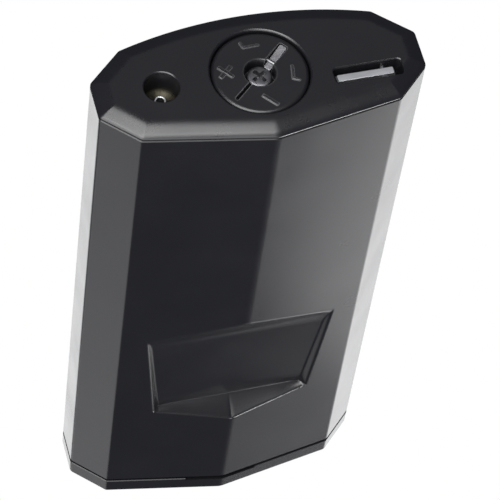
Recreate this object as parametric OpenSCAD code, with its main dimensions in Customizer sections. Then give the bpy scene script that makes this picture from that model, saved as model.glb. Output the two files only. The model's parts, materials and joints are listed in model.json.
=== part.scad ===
// Pocket torch lighter: faceted casing, flip lid, refill valve, flame dial and fold-out tool in the base.
// The lighter stands on its base face at z = 0. X runs along its width, -Y is the front with the thumb recess.

/* [Casing] */
// Overall width
body_w = 40; // [39.5:0.1:40.5]
// Depth from the front ridge to the crest of the back
body_d = 18; // [17.8:0.1:18.4]
// Overall height with the lid closed
body_h = 88; // [87.8:0.1:90]
// Thickness of the casing wall
wall = 1.1; // [0.9:0.05:1.2]
// Rounding of the long edges
edge_r = 0.7; // [0.3:0.1:1]

/* [Base] */
// Rounding of the rim of the base plate and of the lid
rim_r = 1.2; // [0.8:0.1:1.4]
// Thickness of the base plate
plate_t = 3; // [3:0.1:3.2]
// Radius of the flame dial
dial_r = 5.85; // [5.5:0.05:5.9]
// Distance of the refill well from the middle
well_x = 12; // [11.5:0.1:12.5]
// Radius of the refill well
well_r = 2.1; // [1.9:0.05:2.2]
// Direction of the dial's grip lever
grip_angle = 139; // [0:1:359]

/* [Lid] */
// Width of the seam between the casing and the lid
seam = 0.5; // [0.4:0.05:0.6]
// Height of the lid
lid_h = 3.4; // [3.3:0.05:3.6]

/* [Burner] */
// Distance between the jets
jet_pitch = 5; // [4.9:0.05:5.1]

/* [Hidden] */
$fn = 64;
eps = 0.02;

// Places of the mechanism, fixed by how its pieces meet
lid_top = body_h;
lid_bottom = body_h - lid_h;
shell_top = lid_bottom - seam;
hinge_y = body_d / 2 - 0.8;
hinge_z = lid_bottom - seam / 2;
knuckle_r = 0.8;
pin_r = 0.4;
swing_r = 1.3;
lid_knuckle_x = 3;
hinge_half = 9.2;
dial_pocket_r = dial_r + 0.15;
dial_pocket_z = 2.2;
dial_face_z = 0.25;
hub_r = 2.6;
flap_pivot_r = 2.4;
slot_x = -12.7;
slot_y = -2.4;
slot_w = 8.4;
slot_d = 2.2;
pick_pivot = [-15, slot_y, 2];
tank_z0 = 7.2;
tank_z1 = 50.2;
clear_front = -5.3;
floor_z = 52.4;
deck_z = 80.2;
deck_t = 1.6;
piezo_x = -13.1;
button_x = -10.1;
rod_x = -8.4;
lever_x = -2.4;
lever_z = 57;
jet_x0 = 1.5;
jet_mid = jet_x0 + jet_pitch;
spark_x = jet_x0 + jet_pitch / 2;
spark_y = 2.8;
burner_z0 = 64;
burner_z1 = 78;
gallery_z = burner_z0 + 4.3;
guard_x = jet_mid - 0.9;
deck_top = deck_z + deck_t;
screw_x = 17.2;
screw_y = 0.3;
stem_r = 0.65;
outlet_r = 0.8;
valve_bore_r = 0.85;
cover = body_h + 1;

// ---- outline of the casing ----

half_outline = [[15.8, -body_d / 2 + 2.7], [body_w / 2, -2.3], [body_w / 2, 2.7]];
back_x = 15.6;
back_drop = 2.3;
back_r = (back_x * back_x + back_drop * back_drop) / (2 * back_drop);
back_half_angle = asin(back_x / back_r);
back_steps = 16;

function mirrored(points) = [for (i = [len(points) - 1:-1:0]) [-points[i].x, points[i].y]];
function back_arc() = [
    for (i = [0:back_steps])
        let (a = back_half_angle * (1 - 2 * i / back_steps))
            [back_r * sin(a), body_d / 2 - back_r + back_r * cos(a)]
];
function sharp_outline() = concat([[0, -body_d / 2]], half_outline, back_arc(), mirrored(half_outline));

function inward(a, b) = [a.y - b.y, b.x - a.x] / norm(b - a);
function shifted(a, b, c, d) =
    let (m = inward(a, b), n = inward(b, c)) b + d * (m + n) / (1 + m * n);
function inset(points, d) =
    let (n = len(points))
        [for (i = [0:n - 1]) shifted(points[(i + n - 1) % n], points[i], points[(i + 1) % n], d)];

// An arc of radius r in the corner at b, drawn as a few points
function corner(a, b, c, r) =
    let (m = inward(a, b), n = inward(b, c), turn = acos(m * n), middle = shifted(a, b, c, r))
        turn < 8 ? [b] : [for (k = [0:4]) middle - r * turned(m, turn * k / 4)];
function turned(v, a) = [v.x * cos(a) - v.y * sin(a), v.x * sin(a) + v.y * cos(a)];
function rounded(points, r) =
    let (n = len(points))
        [for (i = [0:n - 1]) each corner(points[(i + n - 1) % n], points[i], points[(i + 1) % n], r)];
function outline(d) = rounded(inset(sharp_outline(), d), max(edge_r - d, 0.25));

// A slice of the casing's shape from z0 to z1, drawn in by d all round
module slice(z0, z1, d) {
    translate([0, 0, z0])
        linear_extrude(z1 - z0)
            polygon(outline(d));
}

// A slab whose edge at z_flat is rounded; it ends square at z_square
module rimmed_slab(z_square, z_flat, gap) {
    side = z_square > z_flat ? 1 : -1;
    z_round = z_flat + side * rim_r;
    hull() {
        slice(min(z_square, z_round), max(z_square, z_round), gap);
        for (a = [15:15:90])
            translate([0, 0, z_round - side * rim_r * sin(a) - (side > 0 ? 0 : eps)])
                linear_extrude(eps)
                    polygon(outline(gap + 1.1 * rim_r * (1 - cos(a))));
    }
}

// The part of a slice behind the flat front limit
module trimmed_slice(z0, z1, d, front) {
    intersection() {
        slice(z0, z1, d);
        translate([-body_w, front, z0 - 1])
            cube([2 * body_w, body_d, z1 - z0 + 2]);
    }
}

// ---- helpers ----

module tube(z0, z1, outer, inner) {
    difference() {
        translate([0, 0, z0])
            cylinder(r = outer, h = z1 - z0);
        translate([0, 0, z0 - 1])
            cylinder(r = inner, h = z1 - z0 + 2);
    }
}

module ring_seal(z, major, minor) {
    translate([0, 0, z])
        rotate_extrude()
            translate([major, 0])
                circle(r = minor, $fn = 32);
}

// A block centred on x and y, with rounded vertical edges
module pad(x, y, z0, z1, w, d, r) {
    translate([x, y, z0])
        linear_extrude(z1 - z0)
            polygon(rounded([[-w, -d] / 2, [w, -d] / 2, [w, d] / 2, [-w, d] / 2], r));
}

// A round bar along X or Y, centred on the given point
module bar_x(p, r, l) {
    translate(p)
        rotate([0, 90, 0])
            cylinder(r = r, h = l, center = true);
}

module bar_y(p, r, l) {
    translate(p)
        rotate([90, 0, 0])
            cylinder(r = r, h = l, center = true);
}

// A tube swept along a list of points, with eight sides
function unit(v) = v / norm(v);
function heading(path, i) =
    unit(path[min(i + 1, len(path) - 1)] - path[max(i - 1, 0)]);
function ring_at(p, t, r, up) =
    let (s = unit(cross(t, up)), u = cross(s, t))
        [for (k = [0:7]) p + r * (cos(45 * k) * s + sin(45 * k) * u)];

module swept(path, r, up) {
    n = len(path);
    points = [for (i = [0:n - 1]) each ring_at(path[i], heading(path, i), r, up)];
    sides = [
        for (i = [0:n - 2], k = [0:7])
            let (a = 8 * i + k, b = 8 * i + (k + 1) % 8)
                each [[a, b, b + 8], [a, b + 8, a + 8]]
    ];
    start = [for (k = [7:-1:0]) k];
    end = [for (k = [0:7]) 8 * (n - 1) + k];
    polyhedron(points, concat(sides, [start, end]));
}

// A compression spring about the Z axis, with its end coils drawn in flat
module coil_spring(z0, z1, r, wire, turns) {
    steps = 14 * turns;
    rise = z1 - z0 - 2 * wire;
    path = [
        for (i = [0:steps])
            let (t = i / steps, a = 360 * turns * t)
                [r * cos(a), r * sin(a), z0 + wire + rise * t]
    ];
    swept(path, wire, [0, 0, 1]);
}

// ---- casing ----

recess_floor = -body_d / 2 + 2.6;
recess_z0 = 49.2;
recess_z1 = 66;

// Side view of the thumb recess: a long ramp, a flat floor and a steep ramp towards the lid
module recess_profile() {
    translate([-body_w / 2, 0, 0])
        rotate([90, 0, 90])
            linear_extrude(body_w)
                polygon([
                    [recess_floor - 5.4, recess_z0 - 13],
                    [recess_floor, recess_z0],
                    [recess_floor, recess_z1],
                    [recess_floor - 5.4, recess_z1 + 5.9]
                ]);
}

module recess_front(y, grow) {
    translate([0, y, 0])
        rotate([90, 0, 0])
            linear_extrude(eps)
                polygon([
                    [12.9 + grow, 38], [12.2 + grow, 48], [10.8 + grow, 65.5 + grow], [0, 68 + grow],
                    [-10.8 - grow, 65.5 + grow], [-12.2 - grow, 48], [-12.9 - grow, 38]
                ]);
}

module thumb_recess() {
    intersection() {
        recess_profile();
        hull() {
            recess_front(-7, 0);
            recess_front(recess_floor + 0.2, -0.9);
            recess_front(-body_d / 2 - 0.6, 0.3);
        }
    }
}

module body_shell() {
    color("#1b1b1e")
    difference() {
        union() {
            difference() {
                slice(rim_r + 0.15, shell_top, 0);
                difference() {
                    slice(0, body_h, wall);
                    translate([-body_w / 2, -body_d, 41])
                        cube([body_w, body_d + recess_floor + wall, 30]);
                }
            }
            for (side = [-1, 1])
                bar_x([side * (lid_knuckle_x + hinge_half + 0.1) / 2, hinge_y, hinge_z], knuckle_r,
                    hinge_half - lid_knuckle_x - 0.1);
        }
        thumb_recess();
        bar_x([0, hinge_y, hinge_z], swing_r + 0.1, 2 * lid_knuckle_x + 0.2);
        bar_x([0, hinge_y, hinge_z], pin_r + 0.02, 2 * hinge_half + 2);
    }
}

module base_plate() {
    color("#242427")
    difference() {
        union() {
            rimmed_slab(rim_r + 0.05, 0, 0.06);
            slice(rim_r, plate_t, wall + 0.1);
            difference() {
                slice(plate_t - eps, 5.6, wall + 0.1);
                slice(plate_t - 1, 6, wall + 1);
            }
            translate([well_x, 0, plate_t - eps])
                cylinder(r = 3.4, h = 3);
            intersection() {
                pad(slot_x, slot_y, plate_t - eps, plate_t + 1.4, 9.8, 3.8, 0.5);
                slice(0, body_h, wall + 0.1);
            }
        }
        translate([0, 0, -1])
            cylinder(r = dial_pocket_r, h = dial_pocket_z + 1, $fn = 96);
        translate([0, 0, -eps])
            cylinder(r1 = dial_pocket_r + 0.4, r2 = dial_pocket_r, h = 0.4, $fn = 96);
        translate([0, 0, -1])
            cylinder(r = hub_r + 0.15, h = 8);
        translate([well_x, 0, -1])
            cylinder(r = well_r, h = 6);
        translate([well_x, 0, -eps])
            cylinder(r1 = well_r + 0.25, r2 = well_r, h = 0.25);
        translate([well_x, 0, plate_t + 0.1])
            cylinder(r = 2.7, h = 4);
        pad(slot_x, slot_y, -1, plate_t + 0.4, slot_w, slot_d, 0.5);
        bar_y(pick_pivot, 0.52, 5);
    }
}

module top_deck() {
    color("#2b2b2e")
    difference() {
        slice(deck_z, deck_z + deck_t, wall + 0.15);
        pad(button_x, 0, 0, cover, 9.8, 8.8, 1.6);
        pad(guard_x, 0, 0, cover, 17.8, 8.8, 1);
        for (side = [-1, 1])
            translate([side * screw_x, screw_y, 0])
                cylinder(r = 0.7, h = cover);
    }
}

// ---- lid and hinge ----

module lid() {
    color("#1b1b1e")
    difference() {
        union() {
            difference() {
                rimmed_slab(lid_bottom, lid_top, 0);
                slice(lid_bottom - 1, lid_top - 1.1, 1.2);
                for (side = [-1, 1])
                    bar_x([side * (lid_knuckle_x + hinge_half + 0.2) / 2, hinge_y, hinge_z], swing_r,
                        hinge_half - lid_knuckle_x + 0.2);
            }
            bar_x([0, hinge_y, hinge_z], knuckle_r, 2 * lid_knuckle_x - 0.1);
        }
        bar_x([0, hinge_y, hinge_z], pin_r + 0.04, 2 * lid_knuckle_x + 2);
        translate([-5, -body_d, lid_bottom - 1])
            cube([10, body_d / 2 + 1.4, 1.4]);
    }
}

module lid_liner() {
    color("#3a3a3d")
    difference() {
        slice(lid_top - 2.3, lid_top - 1.15, 1.35);
        pad(jet_mid, 0, 0, lid_top - 1.6, 14, 6, 1);
        bar_x([0, hinge_y, hinge_z], swing_r + 0.4, 2 * hinge_half + 1);
    }
}

module hinge_pin() {
    color("#9a9ca0")
        bar_x([0, hinge_y, hinge_z], pin_r, 2 * hinge_half - 0.2);
}

module lid_cam_spring() {
    color("#a8aaae") {
        translate([-2.6, 5.5, deck_top + 0.05])
            cube([5.2, 1.2, 0.3]);
        translate([-2.6, 6.4, deck_top + 0.05])
            cube([5.2, 0.3, 2.2]);
    }
}

// ---- fuel system ----

module fuel_tank() {
    color("#c9cdd0", 0.8)
    difference() {
        trimmed_slice(tank_z0, tank_z1, wall + 0.5, clear_front + 0.1);
        trimmed_slice(tank_z0 + 1, tank_z1 - 1, wall + 1.5, clear_front + 1.1);
        cylinder(r = 3.25, h = tank_z0 + 2);
        translate([well_x, 0, 0])
            cylinder(r = 2.3, h = tank_z0 + 2);
        translate([0, 0, tank_z1 - 2])
            cylinder(r = 2.65, h = 4);
    }
}

module refill_valve_body() {
    color("#b8963e")
    translate([well_x, 0, 0])
    difference() {
        union() {
            translate([0, 0, plate_t + 0.15])
                cylinder(r = 2.6, h = 2.1);
            translate([0, 0, 5])
                cylinder(r = 2.25, h = 9);
        }
        translate([0, 0, plate_t + 0.14])
            cylinder(r1 = well_r - 0.1, r2 = 0.7, h = 0.7);
        cylinder(r = 0.7, h = 7);
        translate([0, 0, 6])
            cylinder(r = 1.5, h = 6.5);
        cylinder(r = 0.5, h = 16);
    }
}

module refill_stem() {
    color("#e2d3a0")
    translate([well_x, 0, 0])
    difference() {
        union() {
            translate([0, 0, plate_t + 0.2])
                cylinder(r = stem_r, h = 3.8);
            translate([0, 0, 6.1])
                cylinder(r = 1.3, h = 0.7);
        }
        cylinder(r = 0.38, h = 6.4);
    }
}

module refill_spring() {
    color("#8e9094")
        translate([well_x, 0, 0])
            coil_spring(6.9, 12.4, 1.1, 0.15, 5);
}

module refill_seal() {
    color("#161616")
        translate([well_x, 0, 0])
            ring_seal(6.6, 2.72, 0.4);
}

// Profile of the dial: a disc with a rounded face edge, on a hub
module dial_blank() {
    rotate_extrude($fn = 96)
        polygon([
            [0, dial_face_z], [dial_r - 0.55, dial_face_z], [dial_r - 0.2, dial_face_z + 0.12],
            [dial_r, dial_face_z + 0.45], [dial_r, 2], [hub_r, 2], [hub_r, 4.2], [0, 4.2]
        ]);
}

module flame_dial() {
    color("#202023")
    difference() {
        dial_blank();
        translate([0, 0, -1])
            cylinder(r = 1.9, h = 1 + dial_pocket_z);
        cylinder(r = 0.85, h = 6);
        rotate([0, 0, grip_angle]) {
            translate([0, -0.65, -1])
                cube([5.2, 1.3, 2.75]);
            translate([-4.9, -0.25, -1])
                cube([4.9, 0.5, 2.4]);
            bar_y([flap_pivot_r, 0, 0.8], 0.24, 3.4);
        }
    }
}

module dial_screw() {
    color("#b9bbc0")
    difference() {
        union() {
            rotate_extrude()
                polygon([[0, 1.3], [0.75, 1.38], [1.2, 1.6], [1.4, 1.95], [1.4, 2.2], [0, 2.2]]);
            translate([0, 0, 2.1])
                cylinder(r = 0.75, h = 4.9);
        }
        for (a = [20, 110])
            rotate([0, 0, a])
                translate([-0.85, -0.2, 1])
                    cube([1.7, 0.4, 0.9]);
    }
}

module dial_lever() {
    color("#c4c6ca")
    rotate([0, 0, grip_angle])
    difference() {
        union() {
            translate([flap_pivot_r - 0.8, -0.5, 0.4])
                cube([3.2, 1, 0.6]);
            bar_y([flap_pivot_r, 0, 0.8], 0.5, 1);
        }
        bar_y([flap_pivot_r, 0, 0.8], 0.27, 3);
    }
}

module lever_pin() {
    color("#8e9094")
        rotate([0, 0, grip_angle])
            bar_y([flap_pivot_r, 0, 0.8], 0.22, 3.2);
}

module flow_spindle() {
    color("#c2a04a")
    difference() {
        rotate_extrude()
            polygon([[0, 4.25], [1.8, 4.25], [1.8, 9], [0.6, 9.4], [0.2, 11.4], [0, 11.4]]);
        translate([0, 0, 4])
            cylinder(r = 0.8, h = 3.4);
    }
}

module spindle_seal() {
    color("#161616")
        ring_seal(6.6, 2.17, 0.3);
}

module flow_valve_body() {
    color("#b8963e")
    difference() {
        union() {
            translate([0, 0, 4.9])
                cylinder(r = 3.2, h = 8.6);
            translate([0, 0, 5.9])
                cylinder(r = 4.2, h = 1.2);
        }
        translate([0, 0, 4])
            cylinder(r = 1.85, h = 6);
        translate([0, 0, 6.1])
            cylinder(r = 2.55, h = 1);
        cylinder(r = valve_bore_r, h = 16);
    }
}

module riser_tube() {
    color("#c2a04a")
        tube(11.9, 47, 0.8, 0.5);
}

// ---- fold-out tool in the base ----

module fold_out_pick() {
    color("#c8cace")
    difference() {
        translate([0, slot_y + 0.5, 0])
            rotate([90, 0, 0])
                linear_extrude(1) {
                    translate([pick_pivot.x, pick_pivot.z])
                        circle(r = 1.2, $fn = 32);
                    polygon([
                        [pick_pivot.x, 0.8], [pick_pivot.x + 1.2, 0.5], [-9.1, 0.5], [-8.8, 0.9],
                        [-10.2, 2.6], [-11.5, 3], [pick_pivot.x, 3.2]
                    ]);
                }
        bar_y(pick_pivot, 0.54, 4);
    }
}

module pick_pin() {
    color("#9a9ca0")
        bar_y(pick_pivot, 0.5, 4.8);
}

// ---- upper mechanism ----

module chassis() {
    color("#2f3134") {
        difference() {
            trimmed_slice(tank_z1 + 0.4, floor_z, wall + 0.5, clear_front + 0.1);
            cylinder(r = 2.65, h = body_h);
        }
        difference() {
            pad(piezo_x, 0, floor_z - eps, floor_z + 1, 7.8, 7.5, 1);
            pad(piezo_x, 0, 0, body_h, 7.2, 6.7, 0.3);
        }
        for (side = [-1, 1])
            difference() {
                union() {
                    translate([side * 17.5 - 0.6, -1.6, floor_z - eps])
                        cube([1.2, 3.8, deck_z - floor_z - 0.1]);
                    translate([side * screw_x, screw_y, deck_z - 8])
                        cylinder(r = 1.3, h = 7.9);
                }
                translate([side * screw_x, screw_y, deck_z - 6])
                    cylinder(r = 0.62, h = 8);
            }
        for (side = [-1, 1])
            difference() {
                translate([lever_x - 1.3, side * 2.6 - 0.6, floor_z - eps])
                    cube([2.6, 1.2, 6]);
                translate([0, 0, floor_z - 1])
                    cylinder(r = 2.7, h = 3);
                bar_y([lever_x, side * 2.6, lever_z], 0.52, 3);
            }
        for (k = [1, 2])
            translate([jet_x0 + k * jet_pitch, 0, floor_z - eps])
                cylinder(r = 1.3, h = burner_z0 - floor_z - 0.03);
    }
}

module deck_screws() {
    color("#9a9ca0")
    for (side = [-1, 1])
        translate([side * screw_x, screw_y, 0])
        difference() {
            union() {
                translate([0, 0, deck_top + 0.02])
                    cylinder(r1 = 1.2, r2 = 0.9, h = 0.7);
                translate([0, 0, deck_z - 3])
                    cylinder(r = 0.6, h = 5);
            }
            for (a = [0, 90])
                rotate([0, 0, a])
                    translate([-0.6, -0.15, deck_top + 0.3])
                        cube([1.2, 0.3, 1]);
        }
}

module outlet_valve_body() {
    color("#b8963e")
    difference() {
        translate([0, 0, 45.2])
            cylinder(r = 2.6, h = 9);
        translate([0, 0, 40])
            cylinder(r = valve_bore_r, h = 20);
        translate([0, 0, 52])
            cylinder(r = 1.6, h = 0.9);
    }
}

module outlet_seal() {
    color("#161616")
        ring_seal(52.45, 1.2, 0.35);
}

module outlet_stem() {
    color("#e2d3a0")
    difference() {
        union() {
            translate([0, 0, 47.6])
                cylinder(r = outlet_r, h = 18.4);
            translate([0, 0, lever_z + 0.9])
                cylinder(r = 1.8, h = 0.6);
        }
        translate([0, 0, 49])
            cylinder(r = 0.4, h = 20);
    }
}

module outlet_spring() {
    color("#8e9094")
        coil_spring(lever_z + 1.6, burner_z0 - 0.1, 1.4, 0.16, 5);
}

// A rocking lever: the button's rod presses its long arm and its forked short arm lifts the outlet stem
module gas_lever() {
    color("#9a9ca0")
    difference() {
        union() {
            translate([rod_x - 0.9, -1.5, lever_z - 0.3])
                cube([lever_x - rod_x, 3, 0.9]);
            translate([lever_x - 1, -1.5, lever_z - 0.3])
                cube([4.3, 3, 0.6]);
            bar_y([lever_x, 0, lever_z], 1, 3);
            bar_y([0, 0, lever_z + 0.3], 0.5, 3);
        }
        translate([-1, -1, lever_z - 2])
            cube([3, 2, 4]);
        bar_y([lever_x, 0, lever_z], 0.54, 5);
    }
}

module gas_lever_pin() {
    color("#8e9094")
        bar_y([lever_x, 0, lever_z], 0.5, 6.6);
}

module burner_block() {
    color("#8c8f93")
    difference() {
        pad(jet_mid - 1, 0, burner_z0, burner_z1, 17.4, 8, 0.8);
        translate([0, 0, burner_z0 - 1])
            cylinder(r = valve_bore_r, h = 5.3);
        bar_x([jet_mid - 1, 0, gallery_z], 0.7, 2 * jet_pitch + 4);
        for (k = [0:2])
            translate([jet_x0 + k * jet_pitch, 0, gallery_z])
                cylinder(r = 1.95, h = 20);
        translate([spark_x, spark_y, burner_z0 - 1])
            cylinder(r = 0.75, h = 20);
    }
}

module jet_nozzles() {
    color("#b48b3c")
    for (k = [0:2])
        translate([jet_x0 + k * jet_pitch, 0, 0])
        difference() {
            union() {
                translate([0, 0, burner_z0 + 5.5])
                    cylinder(r = 1.9, h = 11.5);
                translate([0, 0, burner_z0 + 16.9])
                    cylinder(r1 = 1.9, r2 = 1.6, h = 0.6);
            }
            translate([0, 0, burner_z0 + 8])
                cylinder(r = 1.35, h = 20);
            cylinder(r = 0.3, h = body_h);
        }
}

module wind_guard() {
    color("#c4c6ca")
    difference() {
        union() {
            pad(guard_x, 0, deck_top + 0.05, deck_top + 0.9, 18.6, 10, 1.2);
            difference() {
                pad(guard_x, 0, deck_z - 0.6, deck_top + 0.1, 17.5, 8.5, 0.9);
                pad(guard_x, 0, 0, cover, 16.5, 7.5, 0.5);
            }
        }
        for (k = [0:2])
            translate([jet_x0 + k * jet_pitch, 0, 0])
                cylinder(r = 2.2, h = cover);
        translate([spark_x, spark_y, 0])
            cylinder(r = 0.85, h = cover);
    }
}

module piezo_case() {
    color("#e4e4e0")
    difference() {
        pad(piezo_x, 0, floor_z + 0.05, 69, 7, 6.5, 0.5);
        pad(piezo_x, 0, floor_z + 1.6, 80, 5.6, 5.1, 0.3);
    }
}

module piezo_plunger() {
    color("#4a4c50")
        pad(piezo_x, 0, 63, 77.9, 5.2, 4.7, 0.4);
}

module piezo_spring() {
    color("#8e9094")
        translate([piezo_x, 0, 0])
            coil_spring(floor_z + 1.7, 62.9, 1.8, 0.22, 5);
}

module ignition_button() {
    color("#202023") {
        difference() {
            union() {
                pad(button_x, 0, deck_z - 1.7, shell_top - 0.3, 9.4, 8.4, 1.4);
                pad(button_x, 0, deck_z - 1.7, deck_z - 0.7, 10.2, 9.2, 1.6);
            }
            pad(button_x, 0, 0, shell_top - 1.8, 7.4, 6.4, 0.6);
            for (k = [-2:2])
                bar_y([button_x + 1.5 * k, 0, shell_top - 0.2], 0.35, 6);
        }
        translate([piezo_x, 0, 78])
            cylinder(r = 1.4, h = shell_top - 79.5);
        translate([rod_x, 0, lever_z + 0.7])
            cylinder(r1 = 0.45, r2 = 0.7, h = 0.6);
        translate([rod_x, 0, lever_z + 1.2])
            cylinder(r = 0.7, h = shell_top - lever_z - 2.7);
    }
}

module electrode_insulator() {
    color("#efeee8")
        translate([spark_x, spark_y, 0])
            tube(burner_z0 - 0.8, deck_top + 0.6, 0.7, 0.32);
}

module spark_electrode() {
    color("#c4c6ca")
    translate([spark_x, spark_y, 0]) {
        translate([0, 0, burner_z0 - 0.5])
            cylinder(r = 0.28, h = deck_top - burner_z0 + 2.1);
        bar_y([0, -0.5, deck_top + 1.4], 0.26, 1.4);
    }
}

// Insulated wire from the piezo unit, round the back of the lever, up into the electrode's insulator
lead_route = [
    [-9.5, 2.4, 60.5], [-9, 2.4, 60.5], [-8.3, 3.1, 60.4], [-7.3, 4.2, 60.2], [-5.6, 5, 60], [-3.4, 5.4, 60],
    [-1, 5.4, 60], [1.2, 5, 60.1], [2.8, 4.3, 60.4], [3.7, 3.5, 61], [4, 2.95, 61.9], [4, 2.8, 63.1]
];

module spark_lead() {
    color("#b5352c")
        swept(lead_route, 0.4, [0.1, 0.3, 1]);
}

body_shell();
base_plate();
top_deck();
lid();
lid_liner();
hinge_pin();
lid_cam_spring();
fuel_tank();
refill_valve_body();
refill_stem();
refill_spring();
refill_seal();
flame_dial();
dial_screw();
dial_lever();
lever_pin();
flow_spindle();
spindle_seal();
flow_valve_body();
riser_tube();
fold_out_pick();
pick_pin();
chassis();
deck_screws();
outlet_valve_body();
outlet_stem();
outlet_seal();
outlet_spring();
gas_lever();
gas_lever_pin();
burner_block();
jet_nozzles();
wind_guard();
piezo_case();
piezo_plunger();
piezo_spring();
ignition_button();
electrode_insulator();
spark_electrode();
spark_lead();
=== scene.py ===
"""The looks of a pocket torch lighter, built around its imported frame.
Lengths are in mm, but the sizes and distances of the lights are in metres."""
import json
import math

import bmesh
import bpy
from mathutils import Matrix, Vector


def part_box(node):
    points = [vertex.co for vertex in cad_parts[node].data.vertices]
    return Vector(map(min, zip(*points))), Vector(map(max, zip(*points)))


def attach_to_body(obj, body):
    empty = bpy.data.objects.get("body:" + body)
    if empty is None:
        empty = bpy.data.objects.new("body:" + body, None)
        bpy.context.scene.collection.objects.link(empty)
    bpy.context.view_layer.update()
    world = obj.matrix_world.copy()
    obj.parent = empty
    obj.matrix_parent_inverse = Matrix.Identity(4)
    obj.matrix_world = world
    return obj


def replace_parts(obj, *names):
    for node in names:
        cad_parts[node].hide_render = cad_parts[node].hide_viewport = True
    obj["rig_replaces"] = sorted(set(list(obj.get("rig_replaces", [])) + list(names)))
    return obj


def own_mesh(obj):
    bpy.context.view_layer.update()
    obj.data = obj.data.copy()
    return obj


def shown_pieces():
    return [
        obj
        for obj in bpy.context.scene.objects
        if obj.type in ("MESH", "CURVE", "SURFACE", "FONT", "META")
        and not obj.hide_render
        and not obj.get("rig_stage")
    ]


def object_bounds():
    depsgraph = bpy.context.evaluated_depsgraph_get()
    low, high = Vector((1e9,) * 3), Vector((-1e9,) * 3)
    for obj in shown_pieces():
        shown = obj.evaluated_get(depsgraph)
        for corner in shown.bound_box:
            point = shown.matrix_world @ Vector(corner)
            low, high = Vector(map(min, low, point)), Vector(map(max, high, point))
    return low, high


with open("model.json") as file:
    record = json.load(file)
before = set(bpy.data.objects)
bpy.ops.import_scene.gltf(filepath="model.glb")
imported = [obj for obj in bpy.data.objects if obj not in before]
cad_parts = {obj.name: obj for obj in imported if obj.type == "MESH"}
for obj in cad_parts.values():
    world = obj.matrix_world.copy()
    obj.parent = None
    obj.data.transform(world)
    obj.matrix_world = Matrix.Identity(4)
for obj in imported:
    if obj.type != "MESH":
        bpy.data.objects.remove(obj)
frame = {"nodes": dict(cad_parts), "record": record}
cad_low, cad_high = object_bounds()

MM = 0.001
NODES = frame["nodes"]


# ---- places read from the frame ----

def corner_mm(node, index):
    """The lowest (0) or highest (1) corner of a CAD node, in mm."""
    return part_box(node)[index] / MM


HALF_W = cad_high.x / MM
FRONT_Y = cad_low.y / MM
BACK_Y = cad_high.y / MM
SHELL_Z0 = corner_mm("body_shell", 0).z
LID_TOP = corner_mm("lid", 1).z
PIN_LOW, PIN_HIGH = corner_mm("hinge_pin", 0), corner_mm("hinge_pin", 1)
HINGE_Y = (PIN_LOW.y + PIN_HIGH.y) / 2
HINGE_Z = (PIN_LOW.z + PIN_HIGH.z) / 2
HINGE_HALF = PIN_HIGH.x + 0.1
HALF_SEAM = 0.25
SHELL_Z1 = HINGE_Z - HALF_SEAM
LID_Z0 = HINGE_Z + HALF_SEAM
WELL_X = (corner_mm("refill_stem", 0).x + corner_mm("refill_stem", 1).x) / 2
DIAL_LOW, DIAL_HIGH = corner_mm("flame_dial", 0), corner_mm("flame_dial", 1)
DIAL_R = DIAL_HIGH.x
DIAL_Z = DIAL_LOW.z

WALL = 1.1
INNER = WALL + 0.1
RIM_R = 1.2
PLATE_T = 3.0

# How far a cutter reaches past what it cuts
PAST = 1

# Hinge: the radius that the knuckles need to swing in, and the half length of the lid's knuckle
KNUCKLE_R = 0.8
PIN_R = (PIN_HIGH.z - PIN_LOW.z) / 2
SWING_R = 1.3
LID_KNUCKLE_X = 3.0
PIN_ROOM = 0.02

# Base: the dial's pocket, the refill well, the tool's slot (x, y, width, depth) and the lever's direction
POCKET_R = DIAL_R + 0.15
POCKET_Z = 2.2
WELL_R = 2.1
WELL_Z = 3.2
SLOT = (-12.7, -2.4, 8.4, 2.2)
GRIP_ANGLE = math.radians(139)


# ---- the outline of the casing ----

# CHEEK and SIDE_Y place the corners of the front and of the sides, and BACK_DROP is the bow of the back.
# PATCH_X is the half width of the front's part that takes the thumb recess.
CHEEK = (15.8, FRONT_Y + 2.7)
SIDE_Y = (-2.3, 2.7)
BACK_X = 15.6
BACK_DROP = 2.3
BACK_STEPS = 48
CORNER_STEPS = 7
RIDGE_R = 3.0
EDGE_R = 0.8
SMALLEST_R = 0.15
PATCH_X = 14.0


def sharp_outline():
    """The outline's corners, anticlockwise, each with the radius of its rounding (0 on the back's arc)."""
    right = [(*CHEEK, EDGE_R), (HALF_W, SIDE_Y[0], EDGE_R), (HALF_W, SIDE_Y[1], EDGE_R)]
    radius = (BACK_X ** 2 + BACK_DROP ** 2) / (2 * BACK_DROP)
    half = math.asin(BACK_X / radius)
    arc = []
    for i in range(BACK_STEPS + 1):
        a = half * (1 - 2 * i / BACK_STEPS)
        rounding = EDGE_R if i in (0, BACK_STEPS) else 0
        arc.append((radius * math.sin(a), BACK_Y - radius + radius * math.cos(a), rounding))
    left = [(-x, y, r) for x, y, r in reversed(right)]
    seam_y = FRONT_Y + (CHEEK[1] - FRONT_Y) * PATCH_X / CHEEK[0]
    return [(0, FRONT_Y, RIDGE_R), (PATCH_X, seam_y, 0), *right, *arc, *left, (-PATCH_X, seam_y, 0)]


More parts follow.
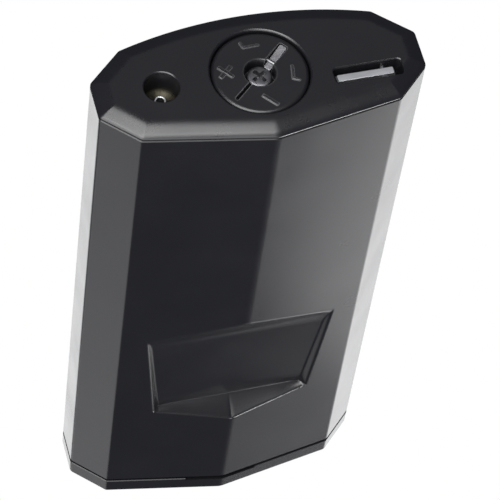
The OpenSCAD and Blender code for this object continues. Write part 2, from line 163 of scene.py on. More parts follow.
def outline(inset, softer=0.0):
    """The casing's outline drawn in by inset, with rounded corners, rounder by softer where that is given.
    Its number of points never changes."""
    corners = sharp_outline()
    count = len(corners)
    points = []
    for i, (x, y, radius) in enumerate(corners):
        before = Vector(corners[i - 1][:2])
        here = Vector((x, y))
        after = Vector(corners[(i + 1) % count][:2])
        m = inward(before, here)
        n = inward(here, after)
        if radius == 0:
            points.append(here + inset * (m + n) / (1 + m.dot(n)))
            continue
        r = max(radius + softer - inset, SMALLEST_R)
        middle = here + (inset + r) * (m + n) / (1 + m.dot(n))
        turn = math.acos(max(-1, min(1, m.dot(n))))
        for k in range(CORNER_STEPS + 1):
            a = turn * k / CORNER_STEPS
            points.append(middle - r * Vector((m.x * math.cos(a) - m.y * math.sin(a),
                                               m.x * math.sin(a) + m.y * math.cos(a))))
    return points


def inward(a, b):
    """The unit vector to the left of the way from a to b."""
    d = (b - a).normalized()
    return Vector((-d.y, d.x))


# ---- mesh helpers ----

def new_object(name, bm):
    """Makes an object in metres from a bmesh in mm."""
    bmesh.ops.recalc_face_normals(bm, faces=bm.faces)
    bmesh.ops.scale(bm, vec=(MM, MM, MM), verts=bm.verts)
    mesh = bpy.data.meshes.new(name)
    bm.to_mesh(mesh)
    bm.free()
    obj = bpy.data.objects.new(name, mesh)
    bpy.context.scene.collection.objects.link(obj)
    return obj


def loft(name, rings):
    """A closed solid through rings of (x, y, z) points, with a flat cap at each end."""
    bm = bmesh.new()
    rows = [[bm.verts.new(p) for p in ring] for ring in rings]
    count = len(rows[0])
    for low, high in zip(rows, rows[1:]):
        for i in range(count):
            j = (i + 1) % count
            bm.faces.new((low[i], low[j], high[j], high[i]))
    bm.faces.new(list(reversed(rows[0])))
    bm.faces.new(rows[-1])
    return new_object(name, bm)


def outline_rings(levels, softer=0.0):
    """Rings of the casing's outline from (z, inset) pairs; the corners get softer with the inset."""
    return [[(p.x, p.y, z) for p in outline(inset, softer * inset)] for z, inset in levels]


def circle(steps):
    """The (cos, sin) pairs of a full turn."""
    return [(math.cos(2 * math.pi * k / steps), math.sin(2 * math.pi * k / steps)) for k in range(steps)]


def lathe(name, profile, centre=(0, 0), steps=96):
    """A solid of revolution about Z through (r, z) points, with a flat cap at each end."""
    x, y = centre
    return loft(name, [[(x + r * c, y + r * s, z) for c, s in circle(steps)] for r, z in profile])


def rounded_rect(w, d, r, steps=6):
    """A rectangle with rounded corners about the origin, anticlockwise."""
    tiny, smallest = 0.001, 0.02
    r = max(min(r, w / 2 - tiny, d / 2 - tiny), smallest)
    points = []
    for cx, cy, start in ((1, 1, 0), (-1, 1, 90), (-1, -1, 180), (1, -1, 270)):
        for k in range(steps + 1):
            a = math.radians(start + 90 * k / steps)
            points.append((cx * (w / 2 - r) + r * math.cos(a), cy * (d / 2 - r) + r * math.sin(a)))
    return points


def block(name, x, y, w, d, r, levels, angle=0.0):
    """A rounded block lofted through (z, grow) pairs, turned by angle about the Z axis of the origin."""
    turn = Matrix.Rotation(angle, 2)
    rings = []
    for z, grow in levels:
        ring = []
        for px, py in rounded_rect(w + 2 * grow, d + 2 * grow, r + grow):
            p = turn @ Vector((x + px, y + py))
            ring.append((p.x, p.y, z))
        rings.append(ring)
    return loft(name, rings)


def hinge_bar(name, r, x0, x1, steps=32):
    """A round bar on the lid's hinge axis."""
    return loft(name, [[(x, HINGE_Y + r * c, HINGE_Z + r * s) for c, s in circle(steps)] for x in (x0, x1)])


def bar_y(name, x, z, r, y0, y1, steps=32):
    """A round bar along Y."""
    return loft(name, [[(x + r * c, y, z + r * s) for c, s in circle(steps)] for y in (y0, y1)])


def discard(obj):
    """Removes an object and its mesh."""
    used = obj.data
    bpy.data.objects.remove(obj)
    bpy.data.meshes.remove(used)


def combine(target, other, operation="DIFFERENCE"):
    """Cuts other out of target, or joins it on; other is used up."""
    modifier = target.modifiers.new("combine", "BOOLEAN")
    modifier.object = other
    modifier.operation = operation
    modifier.solver = "EXACT"
    depsgraph = bpy.context.evaluated_depsgraph_get()
    mesh = bpy.data.meshes.new_from_object(target.evaluated_get(depsgraph))
    target.modifiers.clear()
    used = target.data
    target.data = mesh
    bpy.data.meshes.remove(used)
    discard(other)
    return target


def attach(target, other):
    """Adds other to target as a closed shell of its own; other is used up."""
    bm = bmesh.new()
    bm.from_mesh(target.data)
    bm.from_mesh(other.data)
    bm.to_mesh(target.data)
    bm.free()
    discard(other)
    return target


def shade(obj, sharp_angle=32):
    """Smooth shading that keeps large faces flat."""
    for polygon in obj.data.polygons:
        polygon.use_smooth = True
    obj.data.set_sharp_from_angle(angle=math.radians(sharp_angle))
    modifier = obj.modifiers.new("flat_faces", "WEIGHTED_NORMAL")
    modifier.keep_sharp = True
    modifier.weight = 100
    return obj


def place(obj, body, slot, *replaced):
    """Gives a finished piece its material, its body and the CAD nodes it stands for."""
    obj.data.materials.clear()
    obj.data.materials.append(MATERIALS[slot])
    for polygon in obj.data.polygons:
        polygon.material_index = 0
    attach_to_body(obj, body)
    if replaced:
        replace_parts(obj, *replaced)
    return obj


# ---- materials ----

def surface(slot, colour, roughness, metallic=0.0, vary=0.12, grain=900, stretch=(1, 1, 1), bump=0.004,
            smudge=0.05, wear_and_highlight=0.0, wear_and_highlight_colour=(0.2, 0.2, 0.2), specular=0.5, transmission=0.0, speckle=0.5):
    """A principled material with fine grain, slow colour variation, smudges and a lighter colour along the
    edges, partly rubbed paint and partly a painted edge highlight.
    grain is in features per metre, bump in mm, and speckle is the share of the grain in the colour."""
    material = bpy.data.materials.new(slot)
    material.use_nodes = True
    tree = material.node_tree
    tree.nodes.clear()
    add = tree.nodes.new
    link = tree.links.new
    out = add("ShaderNodeOutputMaterial")
    shader = add("ShaderNodeBsdfPrincipled")
    link(shader.outputs["BSDF"], out.inputs["Surface"])
    shader.inputs["Metallic"].default_value = metallic
    shader.inputs["Specular IOR Level"].default_value = specular
    shader.inputs["Transmission Weight"].default_value = transmission
    place_of = add("ShaderNodeTexCoord")
    stretched = add("ShaderNodeMapping")
    stretched.inputs["Scale"].default_value = stretch
    link(place_of.outputs["Object"], stretched.inputs["Vector"])
    fine = add("ShaderNodeTexNoise")
    fine.inputs["Scale"].default_value = grain
    fine.inputs["Detail"].default_value = 4
    link(stretched.outputs["Vector"], fine.inputs["Vector"])
    slow = add("ShaderNodeTexNoise")
    slow.inputs["Scale"].default_value = 120
    slow.inputs["Detail"].default_value = 5
    link(place_of.outputs["Object"], slow.inputs["Vector"])

    tint = add("ShaderNodeMix")
    tint.data_type = "RGBA"
    tint.inputs["A"].default_value = (*[c * (1 - vary) for c in colour], 1)
    tint.inputs["B"].default_value = (*[min(1, c * (1 + vary)) for c in colour], 1)
    mottle = add("ShaderNodeMix")
    mottle.inputs["Factor"].default_value = speckle
    link(slow.outputs["Fac"], mottle.inputs["A"])
    link(fine.outputs["Fac"], mottle.inputs["B"])
    link(mottle.outputs["Result"], tint.inputs["Factor"])
    colour_out = tint.outputs["Result"]

    # A lighter colour where the bevel normal turns away from the face normal: partly rubbed paint, partly a
    # painted highlight for the light the edges catch.
    if wear_and_highlight:
        rounded = add("ShaderNodeBevel")
        rounded.samples = 4
        rounded.inputs["Radius"].default_value = 0.25 * MM
        shape = add("ShaderNodeNewGeometry")
        align = add("ShaderNodeVectorMath")
        align.operation = "DOT_PRODUCT"
        link(rounded.outputs["Normal"], align.inputs[0])
        link(shape.outputs["Normal"], align.inputs[1])
        edge = add("ShaderNodeMapRange")
        edge.inputs["From Min"].default_value = 0.97
        edge.inputs["From Max"].default_value = 0.8
        edge.inputs["To Max"].default_value = wear_and_highlight
        link(align.outputs["Value"], edge.inputs["Value"])
        wear_and_highlight_mask = add("ShaderNodeMath")
        wear_and_highlight_mask.operation = "MULTIPLY"
        link(edge.outputs["Result"], wear_and_highlight_mask.inputs[0])
        link(slow.outputs["Fac"], wear_and_highlight_mask.inputs[1])
        wear_and_highlight_mix = add("ShaderNodeMix")
        wear_and_highlight_mix.data_type = "RGBA"
        link(wear_and_highlight_mask.outputs[0], wear_and_highlight_mix.inputs["Factor"])
        link(colour_out, wear_and_highlight_mix.inputs["A"])
        wear_and_highlight_mix.inputs["B"].default_value = (*wear_and_highlight_colour, 1)
        colour_out = wear_and_highlight_mix.outputs["Result"]
    link(colour_out, shader.inputs["Base Color"])

    rough = add("ShaderNodeMapRange")
    rough.inputs["From Min"].default_value = 0.3
    rough.inputs["From Max"].default_value = 0.7
    rough.inputs["To Min"].default_value = max(0.02, roughness - smudge)
    rough.inputs["To Max"].default_value = roughness + smudge
    link(mottle.outputs["Result"], rough.inputs["Value"])
    link(rough.outputs["Result"], shader.inputs["Roughness"])

    relief = add("ShaderNodeBump")
    relief.inputs["Strength"].default_value = 1.0
    relief.inputs["Distance"].default_value = bump * MM
    link(fine.outputs["Fac"], relief.inputs["Height"])
    link(relief.outputs["Normal"], shader.inputs["Normal"])
    return material


# Grain drawn out along X or Z, as on rolled or drawn metal
STREAK_X = (0.06, 1, 1)
STREAK_Z = (1, 1, 0.06)
MATERIALS = {
    # The lighter edge colour of casing_black and dial_black is partly rubbed paint and partly a painted edge
    # highlight; on the dial it is strongest and paints the light outlines of the raised marks.
    "casing_black": surface("casing_black", (0.006, 0.006, 0.0075), 0.25, grain=2600, bump=0.0001,
                            smudge=0.025, wear_and_highlight=0.10, wear_and_highlight_colour=(0.05, 0.05, 0.055), speckle=0.08),
    "base_black": surface("base_black", (0.007, 0.007, 0.0085), 0.28, grain=2600, bump=0.0003,
                          smudge=0.03, speckle=0.15),
    "dial_black": surface("dial_black", (0.007, 0.007, 0.0085), 0.32, grain=2200, bump=0.002,
                          smudge=0.05, wear_and_highlight=0.8, wear_and_highlight_colour=(0.22, 0.22, 0.23), speckle=0.3),
    "plastic_black": surface("plastic_black", (0.02, 0.02, 0.022), 0.42, grain=1800, bump=0.006,
                             wear_and_highlight=0.3, wear_and_highlight_colour=(0.08, 0.08, 0.08)),
    "plastic_white": surface("plastic_white", (0.74, 0.73, 0.70), 0.4, grain=900, bump=0.004, vary=0.05),
    "tank_plastic": surface("tank_plastic", (0.55, 0.6, 0.63), 0.18, grain=500, bump=0.004, vary=0.06,
                            transmission=0.6),
    "bright_steel": surface("bright_steel", (0.72, 0.73, 0.75), 0.46, metallic=1, grain=5200,
                            stretch=STREAK_X, bump=0.003, smudge=0.08, vary=0.18),
    "spring_steel": surface("spring_steel", (0.42, 0.43, 0.45), 0.3, metallic=1, grain=2500,
                            stretch=STREAK_Z, bump=0.003, smudge=0.08, vary=0.15),
    "screw_steel": surface("screw_steel", (0.19, 0.19, 0.20), 0.42, metallic=1, grain=2600,
                           bump=0.006, smudge=0.1, vary=0.35),
    "brass": surface("brass", (0.50, 0.38, 0.18), 0.30, metallic=1, grain=2400, stretch=STREAK_X,
                     bump=0.003, smudge=0.08, vary=0.2),
    # Brass darkened to near black: painted shade for the valve body at the bottom of the refill well.
    "brass_painted_shade": surface("brass_painted_shade", (0.032, 0.029, 0.021), 0.42, metallic=1, grain=2400,
                          bump=0.003, smudge=0.08, vary=0.3),
    "zinc": surface("zinc", (0.40, 0.41, 0.42), 0.45, metallic=1, grain=1800, bump=0.01, smudge=0.1),
    "rubber": surface("rubber", (0.015, 0.015, 0.015), 0.6, grain=1500, bump=0.01),
    "ceramic": surface("ceramic", (0.80, 0.79, 0.74), 0.2, grain=700, bump=0.003, vary=0.04),
    "lead_red": surface("lead_red", (0.40, 0.03, 0.025), 0.4, grain=900, bump=0.005),
}


def smooth_nodes():
    """A geometry-nodes group that shades a mesh smooth, so that rounded edges catch the light evenly."""
    group = bpy.data.node_groups.new("shade_smooth", "GeometryNodeTree")
    group.interface.new_socket("Geometry", in_out="INPUT", socket_type="NodeSocketGeometry")
    group.interface.new_socket("Geometry", in_out="OUTPUT", socket_type="NodeSocketGeometry")
    start = group.nodes.new("NodeGroupInput")
    smooth = group.nodes.new("GeometryNodeSetShadeSmooth")
    end = group.nodes.new("NodeGroupOutput")
    group.links.new(start.outputs[0], smooth.inputs["Geometry"])
    group.links.new(smooth.outputs["Geometry"], end.inputs[0])
    return group


SMOOTH = smooth_nodes()
SLOTS = {part["node"]: part["material_slot"] for part in frame["record"]["subparts"]}

# Nodes that look duller than their slot: the refill valve's body gets brass darkened to near black, painted
# shade for the bottom of its well, and the lever pin a darker steel
OTHER_LOOK = {"refill_valve_body": "brass_painted_shade", "lever_pin": "screw_steel"}


def machined(node, width):
    """Rounds the sharp edges of a CAD node by modifiers and gives it its slot's material."""
    obj = NODES[node]
    obj.data.materials[0] = MATERIALS[OTHER_LOOK.get(node, SLOTS[node])]
    weld = obj.modifiers.new("weld", "WELD")
    weld.merge_threshold = 0.001 * MM
    flat = obj.modifiers.new("whole_faces", "DECIMATE")
    flat.decimate_type = "DISSOLVE"
    flat.angle_limit = math.radians(0.5)
    bevel = obj.modifiers.new("broken_edges", "BEVEL")
    bevel.limit_method = "ANGLE"
    bevel.angle_limit = math.radians(35)
    bevel.width = width * MM
    bevel.segments = 2
    smooth = obj.modifiers.new("smooth", "NODES")
    smooth.node_group = SMOOTH
    normals = obj.modifiers.new("flat_faces", "WEIGHTED_NORMAL")
    normals.weight = 100


# ---- casing ----

# The thumb recess in the ridge's plane: its ramp starts at RECESS_TOP, the floor runs from RAMP_END to
# CREASE, and the end wedge comes out at RECESS_TIP. Both ends slant away from the ridge.
RECESS_FLOOR = FRONT_Y + 2.6
RECESS_TOP, RAMP_END, CREASE, RECESS_TIP = 43.3, 48.7, 65.3, 67.9
RIM_SLANT, TIP_SLANT = 0.33, 0.226
RIM_BLEND, RAMP_BLEND, WEDGE_BLEND, COVE_BLEND = 0.2, 0.8, 0.15, 0.06
SHORTEST_RAMP, SHORTEST_WEDGE = 0.4, 0.15
SIDE_LINE = ((12.4, 47.4), (10.6, 65.5))
SIDE_SLOPE = 1.1
PATCH_Z = (42.2, 69)
PATCH_STEP = 0.13


def soft_min(a, b, k):
    """The smaller of two heights, blended where they are closer than k."""
    h = max(k - abs(a - b), 0) / k
    return min(a, b) - h * h * k / 4


def soft_max(a, b, k):
    """The larger of two heights, blended in the same way."""
    return -soft_min(-a, -b, k)


def inside_line(x, z, a, b):
    """How far the point is to the left of the line from a to b."""
    dx, dz = b[0] - a[0], b[1] - a[1]
    return (dx * (z - a[1]) - dz * (x - a[0])) / math.hypot(dx, dz)


def recess_y(x, z, front):
    """The front surface with the thumb recess sunk in: a ramp, side walls, a flat floor and an end wedge."""
    x = abs(x)
    depth = RECESS_FLOOR - front
    rim_z = RECESS_TOP + RIM_SLANT * x
    tip_z = max(RECESS_TIP - TIP_SLANT * x, CREASE + SHORTEST_WEDGE)
    ramp = front + depth * (z - rim_z) / max(RAMP_END - rim_z, SHORTEST_RAMP)
    wedge = front + depth * (tip_z - z) / (tip_z - CREASE)
    side = front + SIDE_SLOPE * inside_line(x, z, *SIDE_LINE)
    sunk = soft_min(RECESS_FLOOR, ramp, RAMP_BLEND)
    sunk = soft_min(sunk, wedge, WEDGE_BLEND)
    sunk = soft_min(sunk, side, COVE_BLEND)
    return soft_max(front, sunk, RIM_BLEND)


def recess_patch(skin):
    """Swaps the flat front of the casing for a fine mesh with the recess in it."""
    bm = bmesh.new()
    bm.from_mesh(skin.data)
    x_end = PATCH_X * MM
    z_low, z_high = (z * MM for z in PATCH_Z)
    y_end = (FRONT_Y + 3) * MM
    tiny = 0.01 * MM
    same = 1e-8

    def in_patch(face):
        faces_front = face.normal.y <= -0.5
        return faces_front and all(abs(v.co.x) < x_end + tiny and z_low - tiny < v.co.z < z_high + tiny
                                   and v.co.y < y_end for v in face.verts)

    bmesh.ops.delete(bm, geom=[f for f in bm.faces if in_patch(f)], context="FACES")
    border = [e for e in bm.edges if e.is_boundary]
    stations = sorted({round(v.co.x, 7): (v.co.x, v.co.y) for e in border for v in e.verts
                       if abs(v.co.z - z_low) < tiny}.values())
    columns = []
    for (x0, y0), (x1, y1) in zip(stations, stations[1:]):
        count = max(1, math.ceil((x1 - x0) / (PATCH_STEP * MM)))
        columns += [(x0 + (x1 - x0) * k / count, y0 + (y1 - y0) * k / count) for k in range(count)]
        for e in border:
            xs = sorted(v.co.x for v in e.verts)
            if count > 1 and e.is_valid and abs(xs[0] - x0) < same and abs(xs[1] - x1) < same:
                bmesh.ops.subdivide_edges(bm, edges=[e], cuts=count - 1)
    columns.append(stations[-1])
    height = z_high - z_low
    rows = math.ceil(height / (PATCH_STEP * MM))
    for e in [e for e in bm.edges if e.is_boundary and abs(e.verts[0].co.z - e.verts[1].co.z) > height / 2]:
        bmesh.ops.subdivide_edges(bm, edges=[e], cuts=rows - 1)
    grid = []
    for k in range(rows + 1):
        z = z_low + height * k / rows
        grid.append([bm.verts.new((x, recess_y(x / MM, z / MM, y / MM) * MM, z)) for x, y in columns])
    for low, high in zip(grid, grid[1:]):
        for i in range(len(columns) - 1):
            bm.faces.new((low[i], low[i + 1], high[i + 1], high[i]))
    bmesh.ops.remove_doubles(bm, verts=[v for v in bm.verts if v.is_boundary], dist=0.0005 * MM)
    bmesh.ops.recalc_face_normals(bm, faces=bm.faces)
    bm.to_mesh(skin.data)
    bm.free()


def casing_skin():
    """The metal casing: a hollow tube with the recess, the wall behind it and the two outer knuckles."""
    edge, gap = 0.12, 0.1
    skin = loft("casing_skin", outline_rings([(SHELL_Z0, edge), (SHELL_Z0 + edge, 0), (PATCH_Z[0], 0),
                                              (PATCH_Z[1], 0), (SHELL_Z1 - edge, 0), (SHELL_Z1, edge)]))
    inner_end = LID_KNUCKLE_X + gap
    for side in (-1, 1):
        ends = sorted((side * inner_end, side * HINGE_HALF))
        combine(skin, hinge_bar("knuckle", KNUCKLE_R, *ends), "UNION")
    hollow = loft("hollow", outline_rings([(SHELL_Z0 - PAST, WALL), (SHELL_Z1 + PAST, WALL)]))
    back_y, front_y, wide = RECESS_FLOOR + WALL, -HALF_W, 3 * HALF_W
    behind = block("behind", 0, (back_y + front_y) / 2, wide, back_y - front_y, 0.1, [(41, 0), (71, 0)])
    combine(hollow, behind)
    combine(skin, hollow)
    combine(skin, hinge_bar("swing", SWING_R + gap, -inner_end, inner_end))
    combine(skin, hinge_bar("pin_bore", PIN_R + PIN_ROOM, -HINGE_HALF - PAST, HINGE_HALF + PAST))
    recess_patch(skin)
    return place(shade(skin, 40), "casing", "casing_black", "body_shell")


MOUTH_FLARE, MOUTH_START = 0.3, 0.5


def mouth(r, fillet, steps=5):
    """(r, z) points of a hole's rounded mouth in the base face, from outside the face into the hole."""
    points = [(r + fillet + MOUTH_FLARE, -MOUTH_START), (r + fillet, -0.02)]
    for k in range(1, steps + 1):
        a = math.pi / 2 * k / steps
        points.append((r + fillet * (1 - math.sin(a)), fillet * (1 - math.cos(a))))
    return points


def hole(name, r, depth, fillet, centre=(0, 0), steps=96):
    """The cutter for a round hole in the base face."""
    return lathe(name, [*mouth(r, fillet), (r, depth)], centre, steps)


def crown_rise(inset, width):
    """How high the base's domed rim stands at inset: a slope that fades out at width, and a rounded edge."""
    slope, spread, turn_w, turn_h = 0.43, 0.75, 0.65, 0.28
    rise = slope * spread * math.log(math.cosh((width - inset) / spread))
    if inset < turn_w:
        rise += turn_h * (1 - math.sqrt(1 - (1 - inset / turn_w) ** 2))
    return rise


def base_cover():
    """The end plate: a tray with a domed rim, the dial's pocket, the refill well and the tool's slot."""
    seam = RIM_R + 0.05
    inside = outline_rings([(PLATE_T, INNER), (seam, INNER), (seam, 0.14), (seam - 0.08, 0.04)])
    crown_w, steps, softer = 2.4, 32, 0.5
    insets = [crown_w * (k / steps) ** 1.5 for k in range(steps + 1)]
    crown = outline_rings([(crown_rise(inset, crown_w), inset) for inset in insets], softer)
    cover = loft("base_cover", inside + crown)

    well, into, through = (WELL_X, 0), 0.1, 8
    combine(cover, lathe("well_boss", [(3.4, PLATE_T - into), (3.4, 2 * PLATE_T)], well), "UNION")
    combine(cover, block("slot_boss", SLOT[0] + 0.2, SLOT[1] + 0.1, 9, 3.4, 1,
                         [(PLATE_T - into, 0), (PLATE_T + 1.4, 0)]), "UNION")
    combine(cover, hole("pocket", POCKET_R, POCKET_Z, 0.3, steps=128))
    combine(cover, lathe("hub_hole", [(2.75, PAST), (2.75, through)]))
    combine(cover, hole("well", WELL_R, WELL_Z, 0.22, well, 64))
    combine(cover, lathe("well_seat", [(2.7, PLATE_T + into), (2.7, through)], well))
    fillet = 0.2
    rounded = [(z, r) for r, z in mouth(0, fillet)[1:]]
    levels = [(-MOUTH_START, fillet + MOUTH_FLARE), *rounded, (PLATE_T + 0.4, 0)]
    combine(cover, block("slot", *SLOT, 0.5, levels))
    return place(shade(cover), "casing", "base_black", "base_plate")


def lid_cover():
    """The lid: a thin cap with a rounded rim, its knuckle and a shallow notch for the thumb."""
    edge, steps, rim_w = 0.1, 12, 1.1 * RIM_R
    levels = [(LID_TOP - WALL, INNER), (LID_Z0, INNER), (LID_Z0, edge), (LID_Z0 + edge, 0),
              (LID_TOP - RIM_R, 0)]
    for k in range(1, steps + 1):
        a = math.pi / 2 * k / steps
        levels.append((LID_TOP - RIM_R * (1 - math.sin(a)), rim_w * (1 - math.cos(a))))
    cover = loft("lid_cover", outline_rings(levels))
    for side in (-1, 1):
        ends = sorted((side * LID_KNUCKLE_X, side * (HINGE_HALF + 0.2)))
        combine(cover, hinge_bar("clear", SWING_R, *ends))
    knuckle_x, bore_x = LID_KNUCKLE_X - 0.05, LID_KNUCKLE_X + PAST
    combine(cover, hinge_bar("knuckle", KNUCKLE_R, -knuckle_x, knuckle_x), "UNION")
    combine(cover, hinge_bar("pin_bore", PIN_R + 2 * PIN_ROOM, -bore_x, bore_x))
    combine(cover, block("notch", 0, FRONT_Y - 1, 10, 4.8, 0.3, [(LID_Z0 - PAST, 0), (LID_Z0 + 0.4, 0)]))
    return place(shade(cover), "lid", "casing_black", "lid")


# ---- flame dial ----

def stroke(r, turn, length, slant, thick, rise):
    """A raised bar on the dial's face, at radius r and turned from the lever's line, at an angle of slant."""
    top, rounding, sunk = DIAL_Z - rise, 0.08, 0.3
    middle = Vector((r * math.cos(turn), r * math.sin(turn)))
    bar = block("stroke", 0, 0, length, thick, rounding, [(top, -0.05), (top + 0.04, 0), (DIAL_Z + sunk, 0)],
                slant + GRIP_ANGLE)
    middle.rotate(Matrix.Rotation(GRIP_ANGLE, 2))
    bar.data.transform(Matrix.Translation((middle.x * MM, middle.y * MM, 0)))
    return bar


def dial_strokes(side):
    """A hooked arrow, and a plus sign on one side of the dial or a minus sign on the other."""
    shaft, hook, sign = (side * math.radians(a) for a in (51, 65, 128))
    low_rise, high_rise = 0.13, 0.16
    sign_r, sign_length = 4.1, 2.2
    bars = [stroke(3.88, shaft, 1.95, shaft + math.pi / 2, 0.26, low_rise),
            stroke(4.36, hook, 0.95, hook, 0.28, high_rise),
            stroke(sign_r, sign, sign_length, math.pi / 2, 0.44, high_rise)]
    if side < 0:
        bars.append(stroke(sign_r, sign, sign_length, 0, 0.42, low_rise))
    return bars


def dial_knob():
    """The dial: a disc on a hub with a pocket for the screw, a groove for the lever and raised marks."""
    r, z, axis_r = DIAL_R, DIAL_Z, 0.05
    hub_r, disc_z, round_w, round_h, steps = 2.6, 2, 0.5, 0.4, 8
    edge = []
    for k in range(steps + 1):
        a = math.pi / 2 * k / steps
        edge.append((r - round_w + round_w * math.sin(a), z + round_h * (1 - math.cos(a))))
    knob = lathe("dial_knob", [(axis_r, z), *edge, (r, disc_z), (hub_r, disc_z), (hub_r, DIAL_HIGH.z),
                               (axis_r, DIAL_HIGH.z)])
    combine(knob, lathe("screw_pocket", [(2.4, z - 0.5), (2.02, z - 0.01), (1.92, z + 0.08), (1.88, z + 0.25),
                                         (1.88, POCKET_Z)]))
    combine(knob, lathe("screw_hole", [(0.85, 0.1), (0.85, 6)]))
    flare = [(z - 0.1, 0.1), (z + 0.08, 0)]
    combine(knob, block("lever_groove", 3.05, 0, 3.9, 1.12, 0.15, [*flare, (1.75, 0)], GRIP_ANGLE))
    combine(knob, block("back_groove", -3.2, 0, 3.4, 0.34, 0.1, [*flare, (1.4, 0)], GRIP_ANGLE))
    for side in (-1, 1):
        for bar in dial_strokes(side):
            attach(knob, bar)
    return place(shade(knob), "dial", "dial_black", "flame_dial")


def screw():
    """A low-headed screw with a cross, whose shank ends in the flow valve's spindle."""
    axis_r, head_z, shank_r, shank_end = 0.05, 2.2, 0.75, 7
    face = [(axis_r, 1.0), (0.6, 1.0), (1.1, 1.02), (1.35, 1.06), (1.47, 1.13), (1.53, 1.24), (1.55, 1.4)]
    body = [(1.55, head_z), (shank_r, head_z), (shank_r, shank_end), (axis_r, shank_end)]
    head = lathe("pan_screw", face + body, steps=64)
    for angle in (60, 150):
        combine(head, block("driver_slot", 0, 0, 1.9, 0.46, 0.06, [(0.8, 0.12), (1.0, 0.04), (1.7, -0.06)],
                            math.radians(angle)))
    return place(shade(head), "dial", "screw_steel", "dial_screw")


def grip_lever():
    """The fold-out grip: a flat bar whose inner end lies deeper in the dial than its outer end."""
    low, thick, length, middle, slope = 0.3, 0.4, 3.5, 3.22, 0.24
    lever = block("grip_lever", middle, 0, length, 0.98, 0.2,
                  [(low, -0.08), (low + 0.03, -0.03), (low + 0.1, 0), (low + thick, 0)])
    tilt = Matrix.Identity(4)
    tilt[2][0] = -slope
    tilt[2][3] = slope * (middle + length / 2) * MM
    lever.data.transform(Matrix.Rotation(GRIP_ANGLE, 4, "Z") @ tilt)
    return place(shade(lever), "dial_lever", "screw_steel", "dial_lever")


def flat_pick():
    """The stowed tool: a flat bar on edge, with a round lug at its pin and a slanted free end."""
    low, high = corner_mm("fold_out_pick", 0), corner_mm("fold_out_pick", 1)
    lug, lug_steps, bore_r = 1.2, 6, 0.54
    pin_x, pin_z = low.x + lug, high.z - lug
    profile = [(pin_x, high.z), (-11.5, 3), (-10.2, 2.6), (-8.78, 0.8), (-8.95, 0.58), (-15.8, 0.58),
               (-15.95, 0.75), (low.x + 0.1, 1.5)]
    for k in range(lug_steps):
        a = math.pi + math.pi / 2 * k / lug_steps
        profile.append((pin_x + lug * math.cos(a), pin_z - lug * math.sin(a)))
    edge, half, y = 0.08, 0.46, SLOT[1]
    middle = Vector((-12.6, 1.8))
    rings = []
    for d, shrink in ((-half, edge), (-half + edge, 0), (half - edge, 0), (half, edge)):
        ring = []
        for x, z in profile:
            way = (middle - Vector((x, z))).normalized()
            ring.append((x + way.x * shrink, y + d, z + way.y * shrink))
        rings.append(ring)
    pick = loft("flat_pick", rings)
    combine(pick, bar_y("bore", pin_x, pin_z, bore_r, y - PAST, y + PAST))
    return place(shade(pick), "pick", "bright_steel", "fold_out_pick")


def filler_stem():
    """The refill valve's tube, with a rolled lip round its bore, whose walls take the black rubber material
    as painted shade.
    """
    low, high = corner_mm("refill_stem", 0).z - 0.4, corner_mm("refill_stem", 1).z
    r, bore, flange, axis_r = 0.71, 0.47, 1.3, 0.05
    bore_end, flange_z, steps = low + 2, high - 0.7, 10
    lip = (r + bore) / 2
    roll = (r - bore) / 2
    profile = [(axis_r, bore_end), (bore, bore_end), (bore, low + roll)]
    for k in range(1, steps):
        a = math.pi * k / steps
        profile.append((lip - roll * math.cos(a), low + roll * (1 - math.sin(a))))
    profile += [(r, low + roll), (r, flange_z), (flange, flange_z), (flange, high), (axis_r, high)]
    stem = lathe("filler_stem", profile, (WELL_X, 0), 48)
    place(shade(stem), "refill_stem", "bright_steel", "refill_stem")
    # The bore's walls get the black rubber material: painted shade for the darkness down the tube.
    stem.data.materials.append(MATERIALS["rubber"])
    for face in stem.data.polygons:
        from_axis = math.hypot(face.center.x / MM - WELL_X, face.center.y / MM)
        if from_axis < bore and face.center.z > (low + roll) * MM:
            face.material_index = 1
    return stem


def coil(name, node, body, wire):
    """A round-wire spring in the space of its CAD node."""
    low, high = corner_mm(node, 0), corner_mm(node, 1)
    height = high.z - low.z
    middle = (low + high) / 2
    radius = (high.x - low.x) / 2 - wire
    turns, steps, closed = 6, 28, 0.8
    count = turns * steps
    bm = bmesh.new()
    rows = []
    for i in range(count + 1):
        t = i / count
        ease = min(1, max(0, (t * turns - closed) / (turns - 2 * closed)))
        a = 2 * math.pi * turns * t
        out = Vector((math.cos(a), math.sin(a), 0))
        centre = Vector((middle.x, middle.y, low.z + wire + (height - 2 * wire) * ease)) + radius * out
        rows.append([bm.verts.new(centre + wire * (c * out + s * Vector((0, 0, 1)))) for c, s in circle(10)])
    for one, two in zip(rows, rows[1:]):
        for k in range(len(one)):
            j = (k + 1) % len(one)
            bm.faces.new((one[k], one[j], two[j], two[k]))
    bm.faces.new(list(reversed(rows[0])))
    bm.faces.new(rows[-1])
    spring = new_object(name, bm)
    place(shade(spring, 60), body, "spring_steel", node)
    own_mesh(spring)
    return spring


# ---- camera, light and floor ----

def camera():
    """The picture's viewing angle: from below the base, with the base towards the top of the frame."""
    position = Vector((82.05, -204.94, -303.27)) * MM
    right = Vector((-0.96412, -0.25064, -0.08742))
    forward = Vector((-0.20653, 0.50138, 0.84022))
    up = right.cross(forward)
    data = bpy.data.cameras.new("camera")
    data.sensor_width = 36
    data.lens = 228.65
    data.clip_start = 10 * MM
    obj = bpy.data.objects.new("camera", data)
    bpy.context.scene.collection.objects.link(obj)
    turn = Matrix((right, up, -forward)).transposed()
    obj.matrix_world = Matrix.Translation(position) @ turn.to_4x4()
    bpy.context.scene.camera = obj


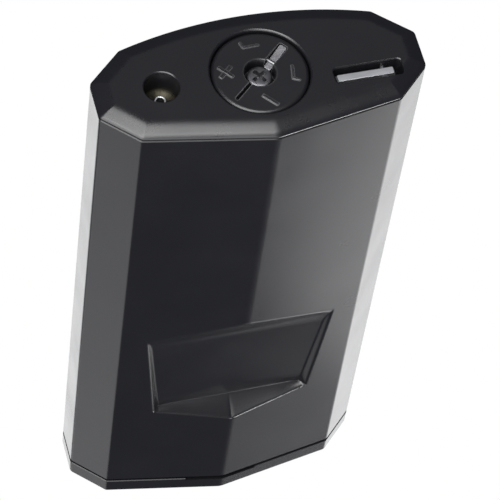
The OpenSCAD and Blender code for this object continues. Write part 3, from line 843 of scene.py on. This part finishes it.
def softbox(name, direction, distance, size, radiance):
    """An area light that faces the object's middle; radiance is what it looks like to the object."""
    middle = (cad_low + cad_high) / 2
    data = bpy.data.lights.new(name, "AREA")
    data.shape = "RECTANGLE"
    data.size, data.size_y = size
    data.energy = radiance * math.pi * size[0] * size[1]
    obj = bpy.data.objects.new(name, data)
    bpy.context.scene.collection.objects.link(obj)
    way = Vector(direction).normalized()
    obj.location = middle + way * distance
    obj.rotation_mode = "QUATERNION"
    obj.rotation_quaternion = (-way).to_track_quat("-Z", "Y")
    obj.visible_camera = False
    return obj


# Name, direction from the object, distance, size and radiance of each light
LIGHTS = [
    ("over_back", (0.20, 0.52, 0.83), 0.45, (0.26, 0.30), 1.9),
    ("over_left", (-0.55, 0.15, 0.82), 0.40, (0.22, 0.30), 2.0),
    ("over_right", (0.52, -0.15, 0.84), 0.40, (0.20, 0.26), 0.85),
    ("left_close", (-0.73, -0.33, 0.60), 0.13, (0.07, 0.10), 2.0),
    ("left_end", (-0.30, -0.30, 0.90), 0.10, (0.03, 0.03), 0.35),
    ("edge_line", (-0.42, -0.80, 0.42), 0.50, (0.14, 0.16), 26),
    ("camera_side", (0.25, -0.30, -0.92), 0.50, (0.36, 0.36), 8.5),
    ("front_low", (0.25, -0.88, -0.40), 0.50, (0.36, 0.36), 3.0),
    ("right_low", (0.75, -0.40, -0.50), 0.50, (0.30, 0.40), 5.0),
    ("under", (-0.21, 0.50, -0.84), 0.60, (0.40, 0.40), 0.2),
]


def studio():
    """The lights, a dim fill and a white backdrop that only the camera sees."""
    world = bpy.data.worlds.new("world")
    bpy.context.scene.world = world
    world.use_nodes = True
    tree = world.node_tree
    tree.nodes.clear()
    out = tree.nodes.new("ShaderNodeOutputWorld")
    mix = tree.nodes.new("ShaderNodeMixShader")
    paths = tree.nodes.new("ShaderNodeLightPath")
    fill = tree.nodes.new("ShaderNodeBackground")
    fill.inputs["Color"].default_value = (0.86, 0.90, 1.12, 1)
    fill.inputs["Strength"].default_value = 0.08
    seen = tree.nodes.new("ShaderNodeBackground")
    seen.inputs["Color"].default_value = (1, 1, 1, 1)
    seen.inputs["Strength"].default_value = 1.0
    tree.links.new(paths.outputs["Is Camera Ray"], mix.inputs["Fac"])
    tree.links.new(fill.outputs["Background"], mix.inputs[1])
    tree.links.new(seen.outputs["Background"], mix.inputs[2])
    tree.links.new(mix.outputs["Shader"], out.inputs["Surface"])

    for light in LIGHTS:
        softbox(*light)


def floor():
    """A pale floor that is solid from above and clear from below, where the picture was taken."""
    bm = bmesh.new()
    half, drop = 4000, 0.2
    corners = ((-half, -half), (half, -half), (half, half), (-half, half))
    bm.faces.new([bm.verts.new((x, y, -drop)) for x, y in corners])
    obj = new_object("floor", bm)
    material = bpy.data.materials.new("floor")
    material.use_nodes = True
    tree = material.node_tree
    tree.nodes.clear()
    out = tree.nodes.new("ShaderNodeOutputMaterial")
    pale = tree.nodes.new("ShaderNodeBsdfDiffuse")
    pale.inputs["Color"].default_value = (0.82, 0.82, 0.83, 1)
    clear = tree.nodes.new("ShaderNodeBsdfTransparent")
    side = tree.nodes.new("ShaderNodeNewGeometry")
    mix = tree.nodes.new("ShaderNodeMixShader")
    tree.links.new(side.outputs["Backfacing"], mix.inputs["Fac"])
    tree.links.new(pale.outputs["BSDF"], mix.inputs[1])
    tree.links.new(clear.outputs["BSDF"], mix.inputs[2])
    tree.links.new(mix.outputs["Shader"], out.inputs["Surface"])
    obj.data.materials.append(material)
    obj.visible_shadow = False
    obj.visible_diffuse = False
    obj.visible_glossy = False
    obj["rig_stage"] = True


camera()
studio()
floor()

casing_skin()
base_cover()
lid_cover()
dial_knob()
screw()
grip_lever()
filler_stem()
flat_pick()
coil("refill_coil", "refill_spring", "casing", 0.15)
coil("outlet_coil", "outlet_spring", "casing", 0.16)
coil("piezo_coil", "piezo_spring", "casing", 0.22)

REPLACED = {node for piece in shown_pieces() for node in piece.get("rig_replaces", [])}
BROKEN_EDGE = 0.08
for node in sorted(set(NODES) - REPLACED):
    machined(node, BROKEN_EDGE)

bpy.context.scene.view_settings.view_transform = "Standard"
